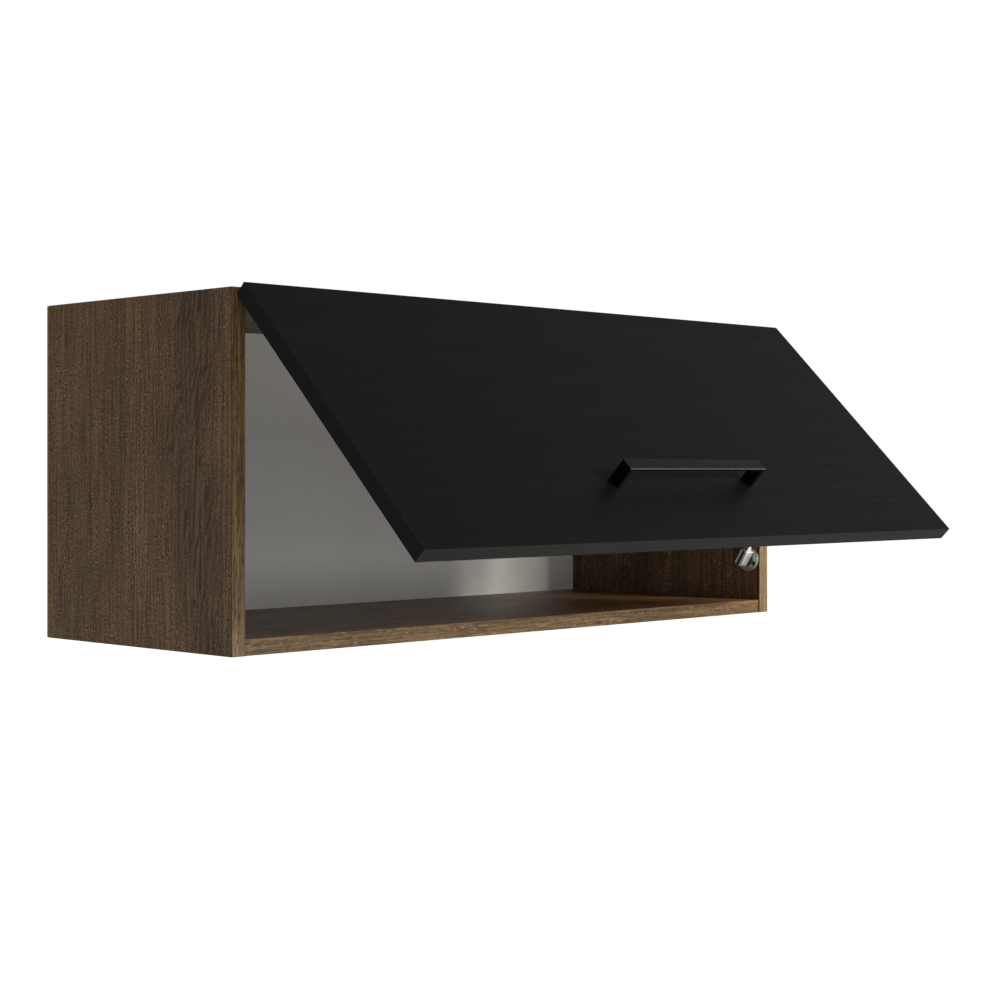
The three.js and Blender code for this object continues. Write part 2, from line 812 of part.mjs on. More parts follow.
function flapBand() {
  const x = flapWidth / 2;
  const outer = block(-x, x, flapOuterY, flapInnerY, flapBottomZ, flapTopZ);
  const inner = block(
    -x + flapBandThickness, x - flapBandThickness, flapOuterY - overcut, flapInnerY + overcut,
    flapBottomZ + flapBandThickness, flapTopZ - flapBandThickness,
  );
  return cut(outer, inner);
}

function handle() {
  const x = handleLength / 2;
  const innerX = x - handleLegThickness;
  const face = flapOuterY - glueLine;
  const bar = face - handleStandoff;
  const outline = polygon([
    [-x, face],
    [-x, bar],
    [x, bar],
    [x, face],
    [innerX, face],
    [innerX, bar + handleThickness],
    [-innerX, bar + handleThickness],
    [-innerX, face],
  ]);
  const body = new THREE.ExtrudeGeometry(outline, {
    depth: handleWidth - 2 * handleChamfer,
    bevelEnabled: true,
    bevelSegments: 1,
    bevelSize: handleChamfer,
    bevelThickness: handleChamfer,
    bevelOffset: -handleChamfer,
  }).translate(0, 0, handleZ - handleWidth / 2 + handleChamfer);
  const holes = [-1, 1].map((end) =>
    rodAlongY(
      handleScrewRadius + glueLine, end * handleScrewX,
      face - handleScrewGrip - screwTipRoom, face + overcut, handleZ,
    ),
  );
  return cut(body, ...holes);
}

function bumpStop() {
  const height = flapGap - runningGap;
  return turned(
    [
      [0, glueLine],
      [bumpRadius, glueLine],
      [bumpRadius, height / 2],
      [bumpRadius / 2, height],
      [0, height],
    ],
    smallSides,
  ).rotateX(-Math.PI / 2);
}

function addFlap() {
  const flap = group(cabinet, 0, pivot.x, pivot.y, -openAngle);
  piece(flap, "flap_panel", flapPanel(), "black");
  piece(flap, "flap_edge_band", flapBand(), "black");
  piece(flap, "handle", handle(), "blackMetal");
  for (const [side, word] of [[-1, "left"], [1, "right"]]) {
    const screw = panScrew(handleScrewRadius, flapThickness + glueLine + handleScrewGrip);
    screw.rotateX(-Math.PI / 2).translate(side * handleScrewX, flapInnerY + glueLine, handleZ);
    piece(flap, `handle_screw_${word}`, screw, "zinc");
    const bumpX = side * (halfWidth - boardThickness / 2);
    const bump = bumpStop().translate(bumpX, flapInnerY, flapBottomZ + bumpUp);
    piece(flap, `bump_stop_${word}`, bump, "rubber");
  }
  return flap;
}

// ---- Gas strut ------------------------------------------------------------------------------

// A socket with its pivot at the origin and its neck towards +Z; it is widest along X. The
// groove on both sides parts its spring clip, at +Y, from its body
function strutSocket() {
  const half = socketWidth / 2;
  const across = socketAcross / 2;
  const grooveY = half - socketClipWidth;
  const body = polygon([
    [-half, socketBevel - socketBelow],
    [-half + socketBevel, -socketBelow],
    [half - socketBevel, -socketBelow],
    [half, socketBevel - socketBelow],
    [half, socketAbove - socketClipDrop],
    [grooveY, socketAbove - socketClipDrop],
    [grooveY, socketAbove],
    [-half + socketBevel, socketAbove],
    [-half, socketAbove - socketBevel],
  ]);
  const neckTop = socketAbove + socketNeckLength;
  const neck = rodAlongZ(socketNeckRadius, 0, 0, 0, neckTop);
  const grooves = [-1, 1].map((end) =>
    block(
      end * (across - socketGrooveDepth), end * (across + overcut),
      grooveY, grooveY - socketGrooveWidth, -socketBelow - overcut, socketAbove + overcut,
    ),
  );
  return cut(join(slab(body, socketAcross), neck), ...grooves);
}

function lowerSocket() {
  const neckTop = socketAbove + socketNeckLength;
  return cut(
    strutSocket(),
    rodAlongZ(strutRodRadius + glueLine, 0, 0, neckTop - strutRodSeat, neckTop + overcut),
    rodAlongX(studRadius + glueLine, 0, socketAcross / 2 + overcut, 0, 0),
  );
}

function upperSocket() {
  const start = -socketAcross / 2 - overcut;
  const end = studPast + runningGap;
  return cut(strutSocket(), rodAlongX(studRadius + runningGap, start, end, 0, 0));
}

function strutTube() {
  const neckTop = -(socketAbove + socketNeckLength + glueLine);
  const top = neckTop - strutCapLength;
  const bottom = neckTop - strutTubeLength;
  const bore = strutRodRadius + runningGap;
  const boreEnd = top - strutEndWall;
  const endRadius = strutTubeRadius - strutTubeChamfer;
  return turned(
    [
      [0, boreEnd],
      [bore, boreEnd],
      [bore, bottom],
      [endRadius, bottom],
      [strutTubeRadius, bottom + strutTubeChamfer],
      [strutTubeRadius, top - strutTubeChamfer],
      [endRadius, top],
      [socketNeckRadius, top],
      [socketNeckRadius, neckTop],
      [0, neckTop],
    ],
    tubeSides,
  );
}

// The lower stud ends in a collar that stands off the flange by the running gap
function lowerStud() {
  const collarStart = socketAcross / 2 + glueLine;
  const collarEnd = strutInset - flangeThickness - glueLine - runningGap;
  return join(
    rodAlongX(studRadius, glueLine, (collarStart + collarEnd) / 2, 0, 0),
    rodAlongX(studCollarRadius, collarStart, collarEnd, 0, 0),
  );
}

function flange() {
  const disc = turned([
    [0, 0],
    [flangeRadius, 0],
    [flangeRadius, flangeThickness - flangeBevel],
    [flangeRadius - flangeBevel, flangeThickness],
    [0, flangeThickness],
  ]).rotateY(-Math.PI / 2);
  const screwSpace = (y, z) => {
    const reach = flangeScrewHead - woodScrewRadius;
    const hole = woodScrewRadius + screwClearance;
    const mouth = flangeScrewHead + screwClearance;
    const cone = turned(
      [
        [0, -flangeThickness - overcut],
        [hole, -flangeThickness - overcut],
        [hole, -reach - flangeScrewSunk],
        [mouth, -flangeScrewSunk],
        [mouth, overcut],
        [0, overcut],
      ],
      smallSides,
    );
    return cone.rotateY(-Math.PI / 2).translate(-flangeThickness, y, z);
  };
  const places = flangeScrewPlaces().map(([y, z]) => [y - strutFoot.x, z - strutFoot.y]);
  return cut(disc, ...places.map(([y, z]) => screwSpace(y, z)));
}

function flapBracket() {
  const base = block(
    -bracketLength, 0, flapInnerY + glueLine, flapInnerY + glueLine + bracketThickness,
    strutHeadZ - bracketHeight / 2, strutHeadZ + bracketHeight / 2,
  );
  const ear = new THREE.Shape();
  ear.moveTo(flapInnerY + glueLine, strutHeadZ - bracketEarRadius);
  ear.absarc(strutHeadY, strutHeadZ, bracketEarRadius, -Math.PI / 2, Math.PI / 2);
  ear.lineTo(flapInnerY + glueLine, strutHeadZ + bracketEarRadius);
  const earPlate = slab(ear, bracketThickness).translate(-bracketThickness / 2, 0, 0);
  const studEnd = bracketClear + socketAcross / 2 + studPast;
  const stud = rodAlongX(studRadius, -bracketThickness / 2, studEnd, strutHeadY, strutHeadZ);
  return join(base, earPlate, stud);
}

function addStrut(flap) {
  const earX = strutX - socketAcross / 2 - bracketClear;
  const bracket = group(flap, earX);
  piece(bracket, "strut_flap_bracket", flapBracket(), "zinc");
  const line = strutHead.clone().sub(strutFoot);
  const length = line.length();
  const strut = group(cabinet, strutX, strutHead.x, strutHead.y, Math.atan2(-line.x, line.y));
  const upper = upperSocket().rotateX(Math.PI);
  piece(strut, "strut_socket_upper", upper, "zinc");
  piece(strut, "strut_tube", strutTube(), "strutBlack");
  const foot = group(strut, 0, 0, -length);
  const rodStart = socketAbove + socketNeckLength - strutRodSeat + glueLine;
  const rod = rodAlongZ(strutRodRadius, 0, 0, rodStart, rodStart + strutRodLength, tubeSides);
  piece(foot, "strut_rod", rod, "steel");
  piece(foot, "strut_socket_lower", lowerSocket(), "zinc");
  piece(foot, "strut_stud_lower", lowerStud(), "steel");
  const flangeX = sideInnerX - glueLine;
  const disc = flange().translate(flangeX, strutFoot.x, strutFoot.y);
  piece(cabinet, "strut_flange", disc, "zinc");
}

// ---- The whole cabinet ----------------------------------------------------------------------

addCarcass();
addJoinery();
addHangers();
const flap = addFlap();
addHinge(flap, -1, "left");
addHinge(flap, 1, "right");
addStrut(flap);

export default cabinet;
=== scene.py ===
import math
import bmesh
import bpy
from mathutils import Matrix, Vector


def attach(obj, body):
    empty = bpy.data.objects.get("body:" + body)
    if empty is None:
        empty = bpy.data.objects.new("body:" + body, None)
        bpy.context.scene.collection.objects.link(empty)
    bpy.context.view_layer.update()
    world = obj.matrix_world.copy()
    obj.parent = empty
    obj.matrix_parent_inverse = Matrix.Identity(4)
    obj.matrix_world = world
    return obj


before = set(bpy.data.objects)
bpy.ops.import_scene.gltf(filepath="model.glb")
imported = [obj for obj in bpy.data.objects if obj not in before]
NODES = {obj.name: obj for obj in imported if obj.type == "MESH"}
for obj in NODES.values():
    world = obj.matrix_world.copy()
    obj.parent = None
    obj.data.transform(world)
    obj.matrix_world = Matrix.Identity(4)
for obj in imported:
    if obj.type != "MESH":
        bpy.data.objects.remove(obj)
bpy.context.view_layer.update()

MM = 0.001
SIDES = ((-1, "left"), (1, "right"))

# Places that several pieces share, in millimetres
HINGE_X = 300
STRUT_UPPER = Vector((373.5, -391.314, 62.44))
STRUT_LOWER = Vector((373.5, -287.3, -104.3))
STRUT_DOWN = (STRUT_LOWER - STRUT_UPPER).normalized()

# The flap's own frame: the origin on its turning line, Z up and Y to the wall when it is shut
TURNING_LINE = Vector((0, -313.1, 165.9))
OPEN = math.radians(45.2)
FLAP = Matrix.Translation(TURNING_LINE * MM) @ Matrix.Rotation(-OPEN, 4, "X")


# ---- Materials ------------------------------------------------------------------------------

class Graph:
    """The shader nodes of one material, made and joined in short calls."""

    def __init__(self, name):
        self.material = bpy.data.materials.new(name)
        self.material.use_nodes = True
        self.tree = self.material.node_tree
        self.tree.nodes.clear()
        self.shader = self.add("ShaderNodeBsdfPrincipled")
        out = self.add("ShaderNodeOutputMaterial")
        self.tree.links.new(self.shader.outputs["BSDF"], out.inputs["Surface"])
        place = self.add("ShaderNodeTexCoord")
        self.place = place.outputs["Object"]
        self.facing = place.outputs["Normal"]

    def add(self, kind, **settings):
        node = self.tree.nodes.new(kind)
        for key, value in settings.items():
            setattr(node, key, value)
        return node

    def put(self, socket, value):
        """Joins the socket to another one, or sets its value."""
        if isinstance(value, bpy.types.NodeSocket):
            self.tree.links.new(value, socket)
        else:
            socket.default_value = value

    def stretched(self, factors, shift=(0, 0, 0)):
        """The place on the object, times the factors, plus the shift."""
        node = self.add("ShaderNodeMapping")
        self.put(node.inputs["Vector"], self.place)
        node.inputs["Scale"].default_value = factors
        node.inputs["Location"].default_value = shift
        return node.outputs["Vector"]

    def noise(self, factors, shift=(0, 0, 0), detail=2.0, rough=0.5, distort=0.0):
        """Noise from 0 to 1. factors: how many times a metre it changes, along X, Y and Z."""
        node = self.add("ShaderNodeTexNoise")
        self.put(node.inputs["Vector"], self.stretched(factors, shift))
        node.inputs["Scale"].default_value = 1.0
        node.inputs["Detail"].default_value = detail
        node.inputs["Roughness"].default_value = rough
        node.inputs["Distortion"].default_value = distort
        return node.outputs["Fac"]

    def ramp(self, value, low, high, start=0.0, end=1.0):
        """From `start` at `low` to `end` at `high`, level outside them."""
        node = self.add("ShaderNodeMapRange")
        self.put(node.inputs["Value"], value)
        node.inputs["From Min"].default_value = low
        node.inputs["From Max"].default_value = high
        node.inputs["To Min"].default_value = start
        node.inputs["To Max"].default_value = end
        return node.outputs["Result"]

    def math(self, kind, first, second=0.0):
        node = self.add("ShaderNodeMath", operation=kind)
        self.put(node.inputs[0], first)
        self.put(node.inputs[1], second)
        return node.outputs["Value"]

    def part(self, vector, letter):
        """The X, Y or Z of a vector."""
        node = self.add("ShaderNodeSeparateXYZ")
        self.put(node.inputs[0], vector)
        return node.outputs["XYZ".index(letter)]

    def faces(self, letter, sign, least=0.9):
        """1 where a face looks along that axis, the way that the sign says. least: how nearly."""
        along_axis = self.math("MULTIPLY", self.part(self.facing, letter), sign)
        return self.math("GREATER_THAN", along_axis, least)

    def faces_either_way(self, letter, least=0.9):
        """1 where a face looks along that axis or against it."""
        along_axis = self.math("ABSOLUTE", self.part(self.facing, letter))
        return self.math("GREATER_THAN", along_axis, least)

    def mix(self, factor, first, second, blend="MIX"):
        """The first colour where the factor is 0, the second where it is 1."""
        node = self.add("ShaderNodeMix", data_type="RGBA", blend_type=blend)
        first_colour, second_colour, mixed = node.inputs[6], node.inputs[7], node.outputs[2]
        self.put(node.inputs["Factor"], factor)
        self.put(first_colour, rgba(first))
        self.put(second_colour, rgba(second))
        return mixed

    def bump(self, height, depth):
        """Relief of that depth, in metres."""
        node = self.add("ShaderNodeBump")
        self.put(node.inputs["Height"], height)
        node.inputs["Strength"].default_value = 1.0
        node.inputs["Distance"].default_value = depth
        return node.outputs["Normal"]

    def finish(self, **sockets):
        """Sets the shader's sockets and gives back the material."""
        for name, value in sockets.items():
            socket = self.shader.inputs[name.replace("_", " ")]
            self.put(socket, rgba(value) if socket.type == "RGBA" else value)
        return self.material


def rgba(value):
    """A colour with its alpha, or the value as it is."""
    if isinstance(value, tuple) and len(value) == 3:
        return (*value, 1.0)
    return value


def linear(red, green, blue):
    """A colour read off a screen, 0 to 255, as the shader wants it."""
    def one(level):
        level /= 255
        return level / 12.92 if level <= 0.04045 else ((level + 0.055) / 1.055) ** 2.4
    return (one(red), one(green), one(blue))


def scaled(values, factor):
    return tuple(value * factor for value in values)


def along(axis, across, lengthwise):
    """Noise factors: `lengthwise` along the grain, `across` in the two other directions."""
    return tuple(lengthwise if letter == axis else across for letter in "XYZ")


def grain_shade(graph, axis, seed, run):
    """Streaks, lines and ticks of a wood print, each from 0 to 1. run: how much longer than
    usual the ticks are."""
    near = (seed, seed * 0.7, seed * 1.3)
    far = (seed + 5, seed + 3, seed + 1)

    def grain(across, lengthwise, shift, detail, rough, distort=0.0):
        return graph.noise(along(axis, across, lengthwise), shift, detail, rough, distort)

    ticks = grain(640, 400 / run, far, detail=1, rough=0.5)
    line = graph.ramp(grain(460, 8, far, detail=1, rough=0.5), 0.48, 0.60, 0.2, 1.0)
    marks = graph.ramp(grain(70, 620, near, detail=2, rough=0.6), 0.52, 0.62)
    patch = graph.ramp(grain(13, 13, near, detail=3, rough=0.6), 0.46, 0.64)
    return {
        "tone": graph.ramp(grain(13, 1.2, near, detail=3, rough=0.55), 0.34, 0.66),
        "hue": graph.ramp(grain(22, 1.0, far, detail=3, rough=0.5), 0.44, 0.62),
        "streak": graph.ramp(grain(110, 2.4, near, detail=4, rough=0.65, distort=0.3), 0.50, 0.66),
        "fine": graph.ramp(grain(430, 11, near, detail=3, rough=0.75), 0.40, 0.60),
        "threads": graph.math("MULTIPLY", graph.ramp(ticks, 0.58, 0.68), line),
        "pores": graph.math("MULTIPLY", graph.ramp(ticks, 0.46, 0.34), line),
        "holes": graph.ramp(grain(620, 430 / run, near, detail=1, rough=0.5), 0.60, 0.69),
        "marks": graph.math("MULTIPLY", marks, patch),
    }


def figure(graph, axis, centre, seed):
    """Leaning dark streaks that run beside the grain, in a zone about `centre` across it."""
    zone_full, zone_gone = 0.020, 0.046
    sway = 0.022
    lean = 0.30
    waves = 620
    line_share = 0.58
    cross = "Y" if axis != "Y" else "X"
    off = graph.math("SUBTRACT", graph.part(graph.place, cross), centre)
    slow = graph.noise(along(axis, 3, 7.0), (seed, 0, seed), detail=2, rough=0.5)
    off = graph.math("ADD", off, graph.ramp(slow, 0.3, 0.7, -sway, sway))
    zone = graph.ramp(graph.math("ABSOLUTE", off), zone_full, zone_gone, 1.0, 0.0)
    leaning = graph.math("ADD", off, graph.math("MULTIPLY", graph.part(graph.place, axis), lean))
    wavy = graph.noise(along(axis, 25, 6), (0, seed, 0), detail=3, rough=0.6)
    bent = graph.math("ADD", leaning, graph.ramp(wavy, 0.3, 0.7, 0, sway))
    wave = graph.math("SINE", graph.math("MULTIPLY", bent, waves))
    broken = graph.noise(along(axis, 70, 16), (seed, seed, 0), detail=2, rough=0.6)
    lines = graph.math("MULTIPLY", graph.ramp(wave, 0.0, 0.9), graph.ramp(broken, 0.40, 0.58))
    lines = graph.math("ADD", graph.math("MULTIPLY", lines, line_share), 1 - line_share)
    return graph.math("MULTIPLY", zone, lines)


def chipboard_ends(graph, ends, colour, rough):
    """Raw particle board where the board's facing doesn't reach. ends: the axes they look along."""
    bare = graph.faces_either_way(ends[0])
    for letter in ends[1:]:
        bare = graph.math("MAXIMUM", bare, graph.faces_either_way(letter))
    chips = graph.noise((420, 420, 900), detail=3, rough=0.65, distort=0.4)
    chips = graph.mix(graph.ramp(chips, 0.36, 0.64), linear(96, 70, 44), linear(178, 148, 108))
    rough = graph.math("MAXIMUM", rough, graph.math("MULTIPLY", bare, 0.85))
    return graph.mix(bare, colour, chips), rough


# Tones of the wood prints: main, dark, light
BROWN = (linear(114, 87, 57), linear(61, 43, 31), linear(166, 136, 100))
EDGE = (linear(118, 92, 61), linear(64, 46, 29), linear(156, 128, 92))
EDGE_LOW = (linear(103, 79, 45), linear(52, 33, 16), linear(158, 130, 92))
EDGE_LIGHT = (linear(122, 103, 70), linear(74, 56, 34), linear(156, 136, 98))
# The dark core colour is partly painted shade: a band core colour, darkened for the shaded seam
# beside the right band.
BAND_CORE_PAINTED_SHADE = linear(66, 15, 2)
BAND_CORE_PALE = linear(72, 52, 36)


def wood_print(
    name, axis, tones, seed, gloss=0.42, ticks=1.0, run=1.0, weave=0.22,
    centre=None, painted_light_tint=None, lip=None, ends=None, core=None,
):
    """Board faced with a wood print whose grain runs along the axis. ticks, run: how strong and
    how long its ticks are. weave: how strong its cross marks are. centre: the middle of its
    figure. painted_light_tint: 1 or -1 for its upper or under face, and the colour that face
    is multiplied by, as painted light or painted reflection. lip: the Y ahead of which its
    facing shows the front band's core colour, which there is partly painted shade. ends: the
    axes that its raw ends look along. core: the colour of the cut sides, on a band that stands
    upright."""
    graph = Graph(name)
    main, dark, light = tones
    cool = tuple(level * shift for level, shift in zip(dark, (1.1, 1.0, 1.15)))
    deep = scaled(dark, 0.5)
    pit = scaled(deep, 0.4)
    shade = grain_shade(graph, axis, seed, run)
    colour = main
    for word, share, tone in (
        ("tone", 0.30, light), ("hue", 0.26, cool), ("fine", 0.84, dark), ("streak", 0.5, dark),
        ("marks", weave, light), ("threads", 0.55 * ticks, scaled(light, 1.25)),
        ("pores", 0.90 * ticks, deep), ("holes", ticks, pit),
    ):
        colour = graph.mix(graph.math("MULTIPLY", shade[word], share), colour, tone)
    if centre is not None:
        lines = graph.math("MULTIPLY", figure(graph, axis, centre, seed), 0.95)
        colour = graph.mix(lines, colour, scaled(cool, 0.72))
    # Painted light and painted reflection: one face multiplied by a lighter or a cooler colour.
    if painted_light_tint is not None:
        sign, tone = painted_light_tint
        colour = graph.mix(graph.faces("Z", sign), colour, tone, "MULTIPLY")
    # Partly painted shade: a strip at the front of the facing in the dark core colour, darkened for
    # the seam.
    if lip is not None:
        ahead = graph.math("LESS_THAN", graph.part(graph.place, "Y"), lip)
        colour = graph.mix(ahead, colour, BAND_CORE_PAINTED_SHADE)
    hollow = graph.math("ADD", shade["pores"], graph.math("MULTIPLY", shade["marks"], weave))
    normal = graph.bump(graph.math("SUBTRACT", 1.0, hollow), 0.00006)
    rough = graph.ramp(shade["fine"], 0.0, 1.0, gloss, gloss + 0.08)
    if ends is not None:
        colour, rough = chipboard_ends(graph, ends, colour, rough)
    # The upright cut sides; on the right band their dark core colour is partly painted shade.
    if core is not None:
        colour = graph.mix(graph.faces_either_way("X", least=0.8), colour, core)
    return graph.finish(Base_Color=colour, Roughness=rough, Normal=normal, IOR=1.32)


def black_print(name, base, sheen, gloss, seed, aside=None):
    """Black facing with a faint grain along X. aside: the colour of its upright sides, set lighter
    than the rest as painted light.
    """
    graph = Graph(name)
    near = (seed, seed, seed)
    pore_black = (0.004, 0.004, 0.0042)
    lines = graph.noise((5, 320, 320), near, detail=4, rough=0.62, distort=0.2)
    broad = graph.noise((1.6, 26, 26), near, detail=3, rough=0.5)
    pores = graph.ramp(graph.noise((42, 1100, 1100), near, detail=2, rough=0.6), 0.56, 0.72)
    broad = graph.ramp(broad, 0.3, 0.7, 0.6, 1.0)
    light = graph.math("MULTIPLY", graph.ramp(lines, 0.3, 0.7), broad)
    colour = graph.mix(light, base, sheen)
    colour = graph.mix(graph.math("MULTIPLY", pores, 0.5), colour, pore_black)
    # Painted light: the upright sides are given a lighter colour than the rest.
    if aside is not None:
        colour = graph.mix(graph.faces_either_way("X"), colour, aside)
    height = graph.math("SUBTRACT", graph.math("MULTIPLY", light, 0.4), pores)
    normal = graph.bump(height, 0.00005)
    rough = graph.ramp(light, 0.0, 1.0, gloss + 0.05, gloss - 0.03)
    return graph.finish(Base_Color=colour, Roughness=rough, Normal=normal, IOR=1.16)


def back_board():
    """White lacquered front, bare fibreboard behind and at the edges."""
    graph = Graph("back_white")
    bare_rough, front_gloss = 0.85, 0.42
    dapple = graph.noise((900, 900, 900), detail=2, rough=0.5)
    cloud = graph.ramp(graph.noise((7, 7, 7), detail=3, rough=0.5), 0.3, 0.7)
    white = graph.mix(cloud, linear(212, 211, 208), linear(219, 218, 215))
    fibres = graph.noise((260, 260, 260), detail=6, rough=0.75, distort=0.6)
    bare = graph.mix(graph.ramp(fibres, 0.35, 0.65), linear(112, 82, 54), linear(146, 112, 78))
    front = graph.faces("Y", -1, least=0.5)
    colour = graph.mix(front, bare, white)
    rough = graph.math("SUBTRACT", bare_rough, graph.math("MULTIPLY", front, front_gloss))
    normal = graph.bump(dapple, 0.00002)
    return graph.finish(Base_Color=colour, Roughness=rough, Normal=normal)


def plated(name, low, high, rough, mottle, stretch=(1, 1, 1), metal=1.0):
    """Plated or cast metal: cloudy colour, fine uneven gloss. mottle: how uneven the gloss is."""
    graph = Graph(name)
    cloud = graph.noise(scaled(stretch, 160), detail=4, rough=0.6)
    grainy = graph.noise(scaled(stretch, 1500), detail=3, rough=0.6)
    both = graph.math("ADD", graph.math("MULTIPLY", cloud, 0.6), graph.math("MULTIPLY", grainy, 0.4))
    colour = graph.mix(graph.ramp(both, 0.36, 0.64), low, high)
    gloss = graph.ramp(both, 0.3, 0.7, rough - mottle, rough + mottle)
    normal = graph.bump(grainy, 0.000003)
    return graph.finish(Base_Color=colour, Roughness=gloss, Normal=normal, Metallic=metal)


def powder_coat(name, low, high, rough, painted_edge_highlight=None):
    """Black coat over metal, with a fine orange peel. painted_edge_highlight: the lighter colour
    painted on its front faces, a painted highlight.
    """
    graph = Graph(name)
    peel = graph.noise((1300, 1300, 1300), detail=2, rough=0.5)
    cloud = graph.noise((60, 60, 60), detail=3, rough=0.5)
    colour = graph.mix(graph.ramp(cloud, 0.3, 0.7), low, high)
    # Painted highlight: a lighter colour on the faces that look to the front.
    if painted_edge_highlight is not None:
        colour = graph.mix(graph.faces("Y", -1, least=0.92), colour, painted_edge_highlight)
    gloss = graph.ramp(cloud, 0.3, 0.7, rough - 0.03, rough + 0.04)
    normal = graph.bump(peel, 0.00003)
    return graph.finish(Base_Color=colour, Roughness=gloss, Normal=normal, IOR=1.22)


def cast_flange(name):
    """The strut's lower flange: a cast disc, with painted shade about the stud in its middle, and
    dark at its rim.
    """
    graph = Graph(name)
    painted_stud_shade, rim = (0.05, 0.055, 0.052), (0.22, 0.22, 0.22)
    dark_radius, light_radius = 8.0 * MM, 9.0 * MM
    cloud = graph.noise((160, 160, 160), detail=4, rough=0.6)
    _, stud_y, stud_z = STRUT_LOWER * MM
    colour = graph.mix(graph.ramp(cloud, 0.36, 0.64), (0.34, 0.35, 0.34), (0.46, 0.465, 0.45))
    # Painted shade: a dark disc about the stud, where the socket shades the flange.
    out = graph.add("ShaderNodeVectorMath", operation="LENGTH")
    graph.put(out.inputs[0], graph.stretched((0, 1, 1), (0, -stud_y, -stud_z)))
    dark = graph.ramp(out.outputs["Value"], dark_radius, light_radius, 1.0, 0.0)
    colour = graph.mix(dark, colour, painted_stud_shade)
    colour = graph.mix(graph.faces_either_way("X", least=0.92), rim, colour)
    gloss = graph.ramp(cloud, 0.3, 0.7, 0.34, 0.48)
    normal = graph.bump(cloud, 0.00001)
    return graph.finish(Base_Color=colour, Roughness=gloss, Normal=normal, Metallic=0.8)


def socket_metal(name):
    """The strut's lower ball socket, cast, with a bright spring clip on its end faces and painted
    shade in a strip between the clip's legs, along the strut."""
    graph = Graph(name)
    clip, shade = (0.95, 0.95, 0.94), (0.03, 0.03, 0.03)
    half_gap = 1.4 * MM
    brushed = graph.noise((300, 1900, 1900), detail=3, rough=0.6)
    colour = graph.mix(graph.ramp(brushed, 0.3, 0.7), (0.46, 0.46, 0.455), (0.80, 0.80, 0.785))
    across = STRUT_DOWN.cross(Vector((1, 0, 0)))
    middle = across.dot(STRUT_LOWER * MM)
    measure = graph.add("ShaderNodeVectorMath", operation="DOT_PRODUCT")
    graph.put(measure.inputs[0], graph.place)
    measure.inputs[1].default_value = across
    off = graph.math("ABSOLUTE", graph.math("SUBTRACT", measure.outputs["Value"], middle))
    aside = graph.faces_either_way("X", least=0.8)
    # Painted shade: a near-black strip along the middle of the end faces, between the clip's legs.
    painted_gap_shade = graph.math("MULTIPLY", aside, graph.math("LESS_THAN", off, half_gap))
    colour = graph.mix(aside, colour, clip)
    colour = graph.mix(painted_gap_shade, colour, shade)
    gloss = graph.ramp(brushed, 0.3, 0.7, 0.36, 0.46)
    normal = graph.bump(brushed, 0.000008)
    return graph.finish(Base_Color=colour, Roughness=gloss, Normal=normal, Metallic=0.85)


def plain_beech():
    graph = Graph("beech")
    lines = graph.noise((9, 500, 500), detail=4, rough=0.6)
    specks = graph.ramp(graph.noise((120, 1300, 1300), detail=2, rough=0.6), 0.58, 0.7)
    colour = graph.mix(graph.ramp(lines, 0.3, 0.7), linear(196, 160, 116), linear(222, 190, 146))
    colour = graph.mix(graph.math("MULTIPLY", specks, 0.6), colour, linear(140, 100, 66))
    normal = graph.bump(lines, 0.00008)
    return graph.finish(Base_Color=colour, Roughness=0.62, Normal=normal)


def soft_plastic(name, low, high, rough, through=0.0):
    """Plastic or rubber. through: how far light passes it."""
    graph = Graph(name)
    dapple = graph.noise((500, 500, 500), detail=3, rough=0.5)
    colour = graph.mix(graph.ramp(dapple, 0.3, 0.7), low, high)
    normal = graph.bump(dapple, 0.00003)
    return graph.finish(
        Base_Color=colour, Roughness=rough, Normal=normal, Transmission_Weight=through
    )


def wood_materials():
    band = {"ticks": 0.58, "run": 3.0, "weave": 0.0}
    # Painted reflection: the top's under face cooled towards grey.
    painted_reflection_below = (-1, (0.72, 0.86, 1.15))
    # Painted light: the bottom's upper face made lighter.
    painted_light_above = (1, (1.68, 1.42, 1.20))
    return {
        "side_left": wood_print(
            "wood_side_left", "Z", BROWN, seed=0.0, ticks=1.25, centre=-0.252, ends="ZY"
        ),
        "side_right": wood_print(
            "wood_side_right", "Z", BROWN, seed=4.3, centre=-0.10, lip=-0.2995, ends="ZY"
        ),
        "top": wood_print("wood_top", "X", BROWN, seed=9.1, gloss=0.5, painted_light_tint=painted_reflection_below, ends="Y"),
        "bottom": wood_print("wood_bottom", "X", BROWN, seed=13.7, gloss=0.38, painted_light_tint=painted_light_above, ends="Y"),
        "edge_left": wood_print("edge_left", "Z", EDGE, seed=2.2, core=BAND_CORE_PALE, **band),
        "edge_right": wood_print("edge_right", "Z", EDGE_LIGHT, seed=6.4, core=BAND_CORE_PAINTED_SHADE, **band),
        "edge_top": wood_print("edge_top", "X", EDGE, seed=1.1, **band),
        "edge_bottom": wood_print("edge_bottom", "X", EDGE_LOW, seed=7.7, **band),
    }


